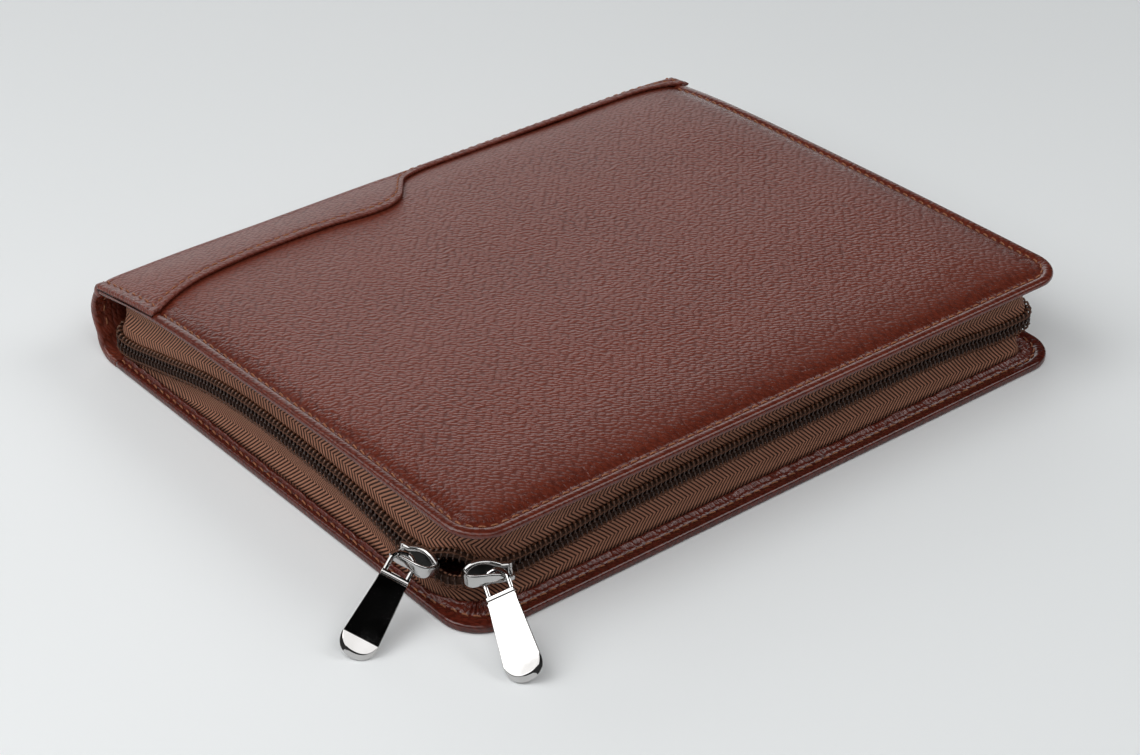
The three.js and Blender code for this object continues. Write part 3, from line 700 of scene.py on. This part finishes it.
def hem_top(inset, hem):
    """Height of the hem's leather at distances in from the outline, one row for each place along it."""
    width = hem.width[:, None]
    along = hem.along[:, None]
    stitch = HEM.stitch * width
    wide = np.clip((width - 4.5) / 6, 0, 1)
    groove = -HEM.groove * bell(inset, stitch, 0.75)
    ridge = HEM.ridge + HEM.gather * ridged(along / 2.4, 3.5) + 0.3 * noise(along / 6, 8.5)
    ridge = ridge * bell(inset, width - 1.2, 0.75 + 0.35 * wide)
    corner_middle = WIDTH - CORNER_RADIUS - SPINE.seam + CORNER_RADIUS * np.pi / 4
    corner = bell(along, corner_middle, 15)
    window = ease((inset - stitch - 0.2) / 1.0) * (1 - ease((inset - width + 0.8) / 0.8))
    pleats = HEM.pleat * np.sin(2 * np.pi * along / 3.4 + 1.2 * noise(along / 7, 2.5)) * corner * window
    crinkle = HEM.crinkle * ridged(along / 2.2, inset / 2) * ease((inset - stitch - 0.2) / 1.2)
    crinkle = crinkle + HEM.wave * noise(along / 3, inset / 2 + 5) * ease((inset - 0.8) / 1.5)
    under = -0.25 * ease((inset - width) / 1.2)
    return BACK_THICKNESS + groove + ridge + pleats + crinkle + under - rim_turn(inset)


def make_back(material, hem):
    rim = EDGE_STEPS
    share = np.linspace(0, 1, 34)[1:]
    width = hem.width[:, None]
    hemmed = rim[-1] + (width + 2 - rim[-1]) * share
    inset = np.concatenate([np.broadcast_to(rim, (len(width), len(rim))), hemmed], axis=1)
    top = hem_top(inset, hem)
    under = np.broadcast_to(rim[::-1], (len(width), len(rim)))
    inset = np.concatenate([under, inset], axis=1)
    height = np.concatenate([rim_turn(under), top], axis=1)
    height[:, -1] = BACK_THICKNESS - 0.25
    plan = hem.edge[:, None, :] + hem.inward[:, None, :] * inset[:, :, None]
    rings = np.concatenate([plan, height[:, :, None]], axis=2)
    stops, count = rings.shape[:2]
    start = np.arange(stops - 1)[:, None] * count
    here = np.arange(count - 1)[None, :]
    bottom = [k * count for k in range(stops)]
    floor = [k * count + count - 1 for k in range(stops)]
    last = (stops - 1) * count
    spine_side = [*range(count), *range(last + count - 1, last - 1, -1)]
    faces = [*grid_faces(start, here, here + 1, count), bottom, floor, spine_side]
    smooth = 1 - ease((inset - HEM.stitch * width - 0.3) / 1.0)
    piece = mesh_piece("back_leather", rings.reshape(-1, 3), faces, material, marks=dict(seam=smooth.ravel()))
    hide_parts("back_cover")


# Sliders and pull tabs, in their own axes: along the zip or the tab, across it, and out of it
def slider_pose(row):
    """Axes and place of a slider, and of the tab that hangs on its bail."""
    angle = np.radians(row["bend"])
    along = BEND_START + NEAR_BEND * angle
    middle = np.array([FORE_X - NEAR_BEND, INSET.near + NEAR_BEND])
    plan = middle + NEAR_BEND * np.array([np.sin(angle), -np.cos(angle)])
    place = np.array([*plan, zip_height(along)])
    heading = np.radians(row["bend"] + row["swivel"])
    up = np.array([0, 0, 1.0])
    bar = np.array([np.cos(heading), np.sin(heading), 0])
    level = np.cross(bar, up)
    lean = lean_at(along)
    out = level * np.cos(lean) + up * np.sin(lean)
    slider = np.array([row["nose"] * bar, row["nose"] * np.cross(out, bar), out])
    hinge = place + out * (SLIDER.front + BAR.height) + bar * row["nose"] * BAR.hang
    droop, skew, roll = (np.radians(row[key]) for key in ("droop", "skew", "roll"))
    hang = level * np.cos(droop) - up * np.sin(droop)
    front = level * np.sin(droop) + up * np.cos(droop)
    length = hang * np.cos(skew) + bar * np.sin(skew)
    width = bar * np.cos(skew) - hang * np.sin(skew)
    width = width * np.cos(roll) + front * np.sin(roll)
    tab = np.array([length, width, np.cross(length, width)])
    return (slider, place), (tab, hinge)


def plate_outline(size):
    """A slider's plate: a narrow tail, shoulders and a round nose."""
    tail, nose = SLIDER.tail, SLIDER.nose
    neck = np.column_stack([np.linspace(-tail, -5.8, 6), np.linspace(2.65, 2.8, 6)])
    shoulder = np.column_stack([np.linspace(-5.8, -2.4, 6), np.linspace(2.8, 4.2, 6)])[1:]
    flank = bow((-2.4, 4.2), (2.6, 5.6), (5.6, 2.4), 14)[1:]
    front = bow((5.6, 2.4), (nose, 1.4), (nose, 0), 8)[1:]
    upper = np.concatenate([neck, shoulder, flank, front]) * size
    return np.concatenate([upper, upper[-2::-1] * (1, -1)])


def plate_solid(outline, levels):
    return np.array([
        np.column_stack([drawn_in(outline, inset), np.full(len(outline), out)]) for inset, out in levels
    ])


def bail_solid(up):
    """The strap over the plate that the tab hangs on; up is the sign of the slider's upward side."""
    stops = np.linspace(0, BAIL[-1][0], 81)
    along, height, top, bottom, thick = (curve_through(BAIL, column)(stops) for column in range(1, 6))
    run = unit(np.gradient(np.column_stack([along, height]), axis=0))
    wide, deep = circle(24, 0.5)
    middle, half = (top + bottom) / 2, (top - bottom) / 2
    across = up * (middle[:, None] + half[:, None] * wide)
    over = thick[:, None] * deep
    return np.stack([
        along[:, None] - over * run[:, 1:],
        across,
        SLIDER.front + height[:, None] + over * run[:, :1],
    ], axis=-1)


def post_solid():
    ring = 0.8 * np.column_stack(circle(12)) + (0.2 * SLIDER.nose, 0)
    return plate_solid(ring, [(0, -3.5), (0, 2.5)])


def make_slider(side, nose, axes, place, material, dark):
    solids = [
        plate_solid(plate_outline(1), PLATE),
        plate_solid(plate_outline(0.7), BACK_PLATE),
        post_solid(),
        bail_solid(nose),
    ]
    solids = [solid @ axes + place for solid in solids]
    piece = mesh_piece(f"slider_metal_{side}", *many_lofts(solids), material, sharp=50)
    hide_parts(f"slider_{side}")
    # A near-black floor in the plate's hollow paints the shade inside the recess.
    floor = plate_solid(plate_outline(1), PLATE_FLOOR) @ axes + place
    piece = mesh_piece(f"slider_hollow_{side}", *many_lofts([floor]), dark, sharp=50)


def loop_solid():
    half, bend, end = LOOP.half, LOOP.bend, LOOP.end
    leg = np.column_stack([np.linspace(end, bend, 6), np.full(6, half)])
    path = np.concatenate([leg, arc(bend, 0, half, 90, 270, 28)[1:-1], leg[::-1] * (1, -1)])
    out = outward(path)
    cos, sin = circle(14)
    plan = path[:, None, :] + out[:, None, :] * (LOOP.wide * cos)[None, :, None]
    height = np.broadcast_to(LOOP.thick * sin, plan.shape[:2])
    return np.concatenate([plan, height[:, :, None]], axis=2)


def neck_solid():
    cos, sin = circle(24, 0.5)
    long, thick = NECK.long * cos, NECK.thick * sin
    stops = [(-1, 0.75), (-0.985, 0.93), (-0.96, 1), (0.96, 1), (0.985, 0.93), (1, 0.75)]
    return np.array([
        np.column_stack([NECK.along + long * size, np.full(24, share * NECK.half), thick * size])
        for share, size in stops
    ])


def land_solid():
    """The low step between the neck bar and the tab's body."""
    half, low, high = TAB.start_half - 0.35, TAB.back + 0.15, 0.3
    section = [(half, low), (half, high), (-half, high), (-half, low)]
    stops = (5.4, 6.2, TAB.start + 0.4)
    return np.array([[(along, across, out) for across, out in section] for along in stops])


def tab_plan():
    """The tab's outline along one side, round its tip and back, and how many points lie along that side."""
    along = np.linspace(TAB.start, TAB.fold, 12)
    half = np.interp(along, (TAB.start, TAB.fold), (TAB.start_half, TAB.fold_half))
    side = np.column_stack([along, half])
    angles = np.radians(np.linspace(90, -90, 41))[1:-1]
    power = 2 / TAB_TIP.power
    tip = np.column_stack([
        TAB.fold + TAB_TIP.reach * blunt(np.cos(angles), power),
        TAB.fold_half * blunt(np.sin(angles), power),
    ])
    return np.concatenate([side, tip, side[::-1] * (1, -1)]), len(side)


def tab_front(along):
    rise = TAB.fold_front - TAB.start_front
    body = TAB.start_front + (along - TAB.start) * rise / (TAB.fold - TAB.start)
    facet = TAB.fold_front - (along - TAB.fold) * np.tan(np.radians(TAB_TIP.tilt))
    return np.where(along > TAB.fold, facet, body)


def tab_body():
    """Points and faces of the tab: flat front, tilted facet at the tip, and a bevel that grows round it."""
    plan, folds = tab_plan()
    round_tip = np.clip((plan[:, 0] - TAB.fold) / TAB_TIP.reach, 0, 1) ** BEVEL.growth
    inset = BEVEL.least + BEVEL.wider * round_tip
    depth = BEVEL.least + BEVEL.deeper * round_tip
    front = tab_front(drawn_in(plan, inset)[:, 0])
    rings = [(drawn_in(plan, BEVEL.back), np.full(len(plan), TAB.back))]
    for out, down in TAB_BEVEL[::-1]:
        rings.append((drawn_in(plan, inset * (1 - out)), front - depth * down))
    flat = drawn_in(plan, inset + BEVEL.step)
    rings.append((flat, tab_front(flat[:, 0])))
    points = np.concatenate([np.column_stack(ring) for ring in rings])
    count = len(plan)
    last = (len(rings) - 1) * count
    far_fold = count - folds
    body = [*range(last, last + folds), *range(last + far_fold, last + count)]
    facet = list(range(last + folds - 1, last + far_fold + 1))
    return points, [*loft_faces(len(rings), count)[:-1], body, facet]


def make_tab(side, axes, place, material):
    points, faces = many_lofts([loop_solid(), neck_solid(), land_solid()])
    body, body_faces = tab_body()
    faces += [[corner + len(points) for corner in face] for face in body_faces]
    points = np.concatenate([points, body]) @ axes + place
    piece = mesh_piece(f"tab_metal_{side}", points, faces, material, body=f"{side}_pull", sharp=8)
    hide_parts(f"pull_tab_{side}")


# Stitches: short arched lengths of thread whose ends dip into the leather
def make_stitches(name, path, normals, material, proud):
    along = distances(path)
    count = int(along[-1] / STITCH.pitch)
    middles = (np.arange(count) + 0.5) * (along[-1] / count)
    shares = np.linspace(-1, 1, 9)
    radii = STITCH.radius * np.sqrt(np.clip(1.02 - np.abs(shares) ** 5, 0.02, 1))
    slant = np.radians(STITCH.slant)
    solids = []
    for k, middle in enumerate(middles):
        half = STITCH.length / 2 * (1 + STITCH.uneven * noise(k * 0.9, 6.5))
        where = middle + shares * half * np.cos(slant)
        centre = table_at(where, along, path)
        up = unit(table_at(where, along, normals))
        side = np.cross(unit(np.gradient(centre, axis=0)), up)
        arch = proud - STITCH.dip * shares ** 4
        centre = centre + up * arch[:, None] + side * (shares * half * np.sin(slant))[:, None]
        solids.append(rings_round(centre, side, up, radii, 8))
    piece = mesh_piece(name, *many_lofts(solids), material)


def surface_normals(x, y, height):
    step = 0.4
    slope_x = (height(x + step, y) - height(x - step, y)) / (2 * step)
    slope_y = (height(x, y + step) - height(x, y - step)) / (2 * step)
    return np.column_stack([-slope_x, -slope_y, np.ones_like(slope_x)])


def front_stitch_path():
    inset = FRONT.stitch
    start, end = (overlay_reach(y) + 1.2 for y in (inset, FRONT_LENGTH - inset))
    plan = round_cover(inset, FRONT_LENGTH, start, end, (160, 24, 220, 180))
    x, y = plan.T
    return np.column_stack([plan, front_skin(x, y)]), surface_normals(x, y, front_top)


def overlay_stitch_path():
    """The line that follows the overlay's edge, from its near end to its far one."""
    places = []
    for y in np.linspace(5.5, LENGTH - 5.5, 420):
        path, back = spine_detailed(y)
        order = np.argsort(back)
        spots = [table_at(OVERLAY_STITCH, back[order], table[order]) for table in (path, outward(path))]
        places.append([(spots[0][0], y, spots[0][1]), (spots[1][0], 0, spots[1][1])])
    return np.array(places).transpose(1, 0, 2)


def overlay_end_path(y):
    """The line round the spine panel beside one of its ends."""
    path, back = spine_detailed(y)
    on_top = (back > 1.2) & (path[:, 1] > 5)
    out = outward(path)
    place = np.column_stack([path[on_top, 0], np.full(on_top.sum(), y), path[on_top, 1]])
    return place, np.column_stack([out[on_top, 0], np.zeros(on_top.sum()), out[on_top, 1]])


def spine_inner_path(y):
    """The same line on the inner side of the spine's wall."""
    height = np.linspace(INNER_ROW.low, INNER_ROW.high, INNER_ROW.places)
    swell = SPINE.swell * np.sin(np.pi * (height - SPINE.bottom) / INNER_ROW.waist)
    place = np.column_stack([SPINE.wall_x + SPINE.wall - swell, np.full_like(height, y), height])
    return place, np.tile((1.0, 0.0, 0.0), (INNER_ROW.places, 1))


def hem_stitch_path(hem):
    inset = HEM.stitch * hem.width[:, None]
    plan = hem.edge + hem.inward * inset
    height = hem_top(inset, hem)[:, 0]
    return np.column_stack([plan, height]), np.tile((0.0, 0.0, 1.0), (len(plan), 1))


# Materials
def new_material(name):
    material = bpy.data.materials.new(name)
    material.use_nodes = True
    tree = material.node_tree
    return material, tree, tree.nodes["Principled BSDF"]


def plug(made, **inputs):
    """Sets a node's inputs, by name or as i and a number, to values or to other nodes' sockets."""
    for key, value in inputs.items():
        socket = made.inputs[int(key[1:]) if key[1:].isdigit() else key.replace("_", " ")]
        if isinstance(value, bpy.types.NodeSocket):
            made.id_data.links.new(value, socket)
        else:
            socket.default_value = value


def node(tree, kind, settings=None, **inputs):
    """The outputs of a new shader node."""
    made = tree.nodes.new("ShaderNode" + kind)
    for key, value in (settings or {}).items():
        setattr(made, key, value)
    plug(made, **inputs)
    return made.outputs


def ramp(source, stops):
    made = source.id_data.nodes.new("ShaderNodeValToRGB")
    plug(made, Fac=source)
    elements = made.color_ramp.elements
    while len(elements) < len(stops):
        elements.new(0.5)
    for element, (place, colour) in zip(elements, stops):
        element.position = place
        element.color = (*colour, 1)
    return made.outputs["Color"]


def calc(operation, a, b=0.0):
    tree = (a if isinstance(a, bpy.types.NodeSocket) else b).id_data
    return node(tree, "Math", dict(operation=operation), i0=a, i1=b)[0]


def plus(a, b):
    return calc("ADD", a, b)


def less(a, b):
    return calc("SUBTRACT", a, b)


def times(a, b):
    return calc("MULTIPLY", a, b)


def vectors(operation, a, b):
    return node(a.id_data, "VectorMath", dict(operation=operation), i0=a, i1=b)


def remap(value, low, high, to_low=0.0, to_high=1.0):
    return node(value.id_data, "MapRange", Value=value, From_Min=low, From_Max=high,
                To_Min=to_low, To_Max=to_high)[0]


def cloud(tree, scale, detail, where=None):
    """Noise over the piece, or over other vectors."""
    if where is None:
        where = node(tree, "TexCoord")["Object"]
    return node(tree, "TexNoise", Vector=where, Scale=scale, Detail=detail)


def mark(tree, name, output="Fac"):
    return node(tree, "Attribute", dict(attribute_name=name))[output]


def bump(height, strength, distance):
    return node(height.id_data, "Bump", Strength=strength, Distance=distance, Height=height)[0]


def leather_material(name, dark, mid, light, roughness, grain, crinkle):
    """Pebbled leather: pebbles of uneven height, with painted shade down in their creases; beside a seam it
    is smoother, glossier and puckered.
    """
    material, tree, shader = new_material(name)
    fog = lambda scale, where=None: cloud(tree, scale, 2.0, where)
    parts = node(tree, "SeparateXYZ", Vector=node(tree, "TexCoord")["Object"])
    spread = node(tree, "CombineXYZ", X=plus(parts["X"], parts["Z"]),
                  Y=plus(parts["Y"], times(parts["Z"], 0.6)))[0]
    bent = node(tree, "VectorMath", dict(operation="SCALE"), i0=fog(260)["Color"], Scale=PEBBLE.bend)[0]
    moved = vectors("ADD", spread, bent)[0]
    angle = np.radians(PEBBLE.turn)
    turned = node(tree, "VectorRotate", dict(rotation_type="Z_AXIS"), Vector=moved, Angle=angle)[0]
    cells = node(tree, "TexVoronoi", dict(feature="SMOOTH_F1", voronoi_dimensions="2D"), Scale=PEBBLE.scale,
                 Vector=vectors("MULTIPLY", turned, PEBBLE.stretch)[0], Randomness=0.75, Smoothness=0.3)
    inside = remap(cells["Distance"], PEBBLE.reach, 0.0)
    dome = less(1.0, calc("POWER", less(1.0, inside), 2.0))
    pebble = times(dome, plus(times(fog(330)["Fac"], 0.6), 0.7))
    wrinkle = times(fog(900)["Fac"], crinkle)
    seam = mark(tree, "seam")
    free = less(1.0, times(seam, 0.8))
    relief = times(plus(pebble, wrinkle), free)
    rim = mark(tree, "pucker", "Vector")
    pull = node(tree, "SeparateXYZ", Vector=rim)["Z"]
    along = vectors("MULTIPLY", rim, PEBBLE.pucker)[0]
    streak = calc("ABSOLUTE", less(fog(1.0, along)["Fac"], 0.5))
    height = less(relief, times(times(streak, pull), PEBBLE.streak))
    # The slow cloud is the hide's own uneven tone; the colour is darker down between the pebbles as painted
    # shade in the creases.
    tone = plus(times(fog(30)["Fac"], 0.1), times(pebble, 0.12))
    tone = less(tone, times(seam, 0.08))
    colour = ramp(tone, [(0.0, dark), (0.11, mid), (0.25, light)])
    # Painted shade near the rims, darkest towards the fore edge: the colour is mixed towards the dark one.
    edge_shade_share = times(mark(tree, "burnish"), PEBBLE.burnish)
    deep = node(tree, "Mix", dict(data_type="RGBA"), i0=edge_shade_share, i6=colour, i7=(*dark, 1))[2]
    gloss = remap(seam, 0.0, 1.0, roughness, 0.62 * roughness)
    crease = times(times(less(1.0, dome), free), 0.12)
    plug(shader, Base_Color=deep, Roughness=plus(gloss, crease),
         Normal=bump(height, grain, PEBBLE.depth))
    return material


def herringbone_material(name, dark, light):
    material, tree, shader = new_material(name)
    uv = node(tree, "UVMap", dict(uv_map="weave"))[0]
    parts = node(tree, "SeparateXYZ", Vector=uv)
    slanted = plus(parts["X"], calc("PINGPONG", plus(parts["Y"], WEAVE.start), WEAVE.band))
    wave = calc("SINE", times(slanted, 2 * np.pi / WEAVE.pitch))
    ridge = remap(wave, -0.75, 0.6)
    rib = calc("SINE", times(parts["Y"], 2 * np.pi / WEAVE.rib))
    height = plus(ridge, times(rib, 0.12))
    fibre = cloud(tree, 2.2, 4.0, uv)["Fac"]
    tone = plus(times(ridge, 0.75), times(fibre, 0.3))
    plug(shader, Base_Color=ramp(tone, [(0.2, dark), (0.75, light)]),
         Normal=bump(height, 0.8, 0.0003), Roughness=0.7, Specular_IOR_Level=0.25)
    return material


def thread_material(name, dark, light, scale, roughness):
    material, tree, shader = new_material(name)
    fibre = cloud(tree, scale, 4.0)["Fac"]
    plug(shader, Base_Color=ramp(fibre, [(0.3, dark), (0.7, light)]),
         Normal=bump(fibre, 0.5, 0.0002), Roughness=roughness, Specular_IOR_Level=0.2)
    return material


def nylon_material(name, dark, light):
    """Glossy coil, with a painted highlight where it turns at the row's outer edge."""
    material, tree, shader = new_material(name)
    tone = times(mark(tree, "painted_glint"), plus(cloud(tree, 700, 3.0)["Fac"], 0.4))
    plug(shader, Base_Color=ramp(tone, [(0.05, dark), (0.9, light)]), Roughness=0.22,
         Specular_IOR_Level=0.35)
    return material


def metal_material(name, tone, smooth, dull):
    material, tree, shader = new_material(name)
    stain = cloud(tree, 160, 4.0)["Fac"]
    tint = ramp(stain, [
        (0.3, (0.94 * tone, 0.92 * tone, 0.9 * tone)),
        (0.7, (1.06 * tone, 1.04 * tone, 1.03 * tone)),
    ])
    plug(shader, Base_Color=tint, Roughness=remap(stain, 0.3, 0.7, smooth, dull), Metallic=1.0)
    return material


def floor_material():
    material, tree, shader = new_material("floor_paper")
    tone = ramp(cloud(tree, 1.6, 2.0)["Fac"], [(0.3, (0.83, 0.855, 0.862)), (0.7, (0.87, 0.89, 0.897))])
    plug(shader, Base_Color=tone, Roughness=0.9, Specular_IOR_Level=0.2)
    return material


# Stage
def make_floor():
    mesh = bpy.data.meshes.new("floor")
    shape = bmesh.new()
    bmesh.ops.create_circle(shape, cap_ends=True, radius=5, segments=64)
    shape.to_mesh(mesh)
    shape.free()
    mesh.materials.append(floor_material())
    floor = new_object("floor", mesh)


def make_world():
    world = bpy.data.worlds.new("studio")
    world.use_nodes = True
    tree = world.node_tree
    way = node(tree, "TexCoord")["Generated"]
    tone = ramp(node(tree, "SeparateXYZ", Vector=way)["Z"], SKY)
    behind = vectors("DOT_PRODUCT", way, (-0.966, 0.259, 0))["Value"]
    plug(tree.nodes["Background"], Color=tone, Strength=remap(behind, 0.74, 0.85, 0.05, 1.6))
    bpy.context.scene.world = world


def make_softbox(name, azimuth, elevation, distance, size, power):
    az, el = np.radians((azimuth, elevation))
    way = Vector((np.cos(el) * np.cos(az), np.cos(el) * np.sin(az), np.sin(el)))
    light = bpy.data.lights.new(name, "AREA")
    light.shape = "RECTANGLE"
    light.size, light.size_y = size
    light.energy = power
    holder = new_object(name, light)
    holder.location = way * distance
    holder.rotation_euler = way.to_track_quat("Z", "Y").to_euler()


def make_camera():
    camera = new_object("camera", bpy.data.cameras.new("camera"))
    camera.data.sensor_width = 36
    camera.data.lens = CAMERA.lens
    az, tilt, roll = np.radians(CAMERA.turn)
    turn = Matrix.Rotation(az, 4, "Z") @ Matrix.Rotation(tilt, 4, "X") @ Matrix.Rotation(roll, 4, "Z")
    camera.matrix_world = Matrix.Translation(CAMERA.place) @ turn
    bpy.context.scene.camera = camera


make_camera()
make_floor()
make_world()
for row in LIGHTS:
    make_softbox(**row)
bpy.context.scene.view_settings.view_transform = "Standard"

leather = leather_material(
    "leather", (0.083, 0.0138, 0.007), (0.152, 0.029, 0.015), (0.18, 0.037, 0.0205), 0.32, 0.8, 0.25)
# The hem's leather is the cover's, its colours painted darker as shade; it is glossier and more crinkled.
hem_leather_shaded = leather_material(
    "hem_leather_shaded", (0.06, 0.009, 0.005), (0.11, 0.018, 0.01), (0.15, 0.027, 0.015), 0.2, 0.7, 1.0)
tape_cloth = herringbone_material("tape_weave", (0.034, 0.012, 0.007), (0.41, 0.187, 0.116))
# The coil's light colour is the painted highlight on the teeth's turns.
nylon = nylon_material("coil_nylon", (0.034, 0.014, 0.008), (0.14, 0.062, 0.035))
cord = thread_material("coil_cord", (0.024, 0.011, 0.007), (0.06, 0.029, 0.018), 1500, 0.85)
tape_thread = thread_material("coil_thread", (0.06, 0.025, 0.014), (0.14, 0.06, 0.034), 2400, 0.6)
seam_thread = thread_material("seam_thread", (0.16, 0.058, 0.028), (0.42, 0.17, 0.083), 2400, 0.5)
gunmetal = metal_material("gunmetal", 0.56, 0.03, 0.07)
satin = metal_material("satin_metal", 0.5, 0.08, 0.16)
# A near-black metal that paints the shade in the sliders' hollows.
hollow_shade_metal = metal_material("hollow_shade_metal", 0.025, 0.25, 0.4)

make_front(leather)
make_spine(leather)
hem = hem_path()
make_back(hem_leather_shaded, hem)
for side, way, sewn_to in (("upper", 1, "front_leather"), ("lower", -1, "back_leather")):
    tape, area, width = make_tape(f"tape_{side}", way, tape_cloth)
    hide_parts(f"zip_tape_{side}")
    make_coil(side, way, nylon, cord, tape_thread)
for name, (path, normals), proud in (
    ("front", front_stitch_path(), STITCH.proud),
    ("overlay", overlay_stitch_path(), STITCH.low),
    ("overlay_near", overlay_end_path(FRONT.stitch), STITCH.proud),
    ("overlay_far", overlay_end_path(LENGTH - FRONT.stitch), STITCH.proud),
    ("spine_near", spine_inner_path(FRONT.stitch), STITCH.proud),
    ("back", hem_stitch_path(hem), STITCH.proud),
):
    make_stitches(f"stitches_{name}", path, normals, seam_thread, proud)
for row in SLIDERS:
    slider, tab = slider_pose(row)
    make_slider(row["side"], row["nose"], *slider, satin, hollow_shade_metal)
    make_tab(row["side"], *tab, gunmetal)
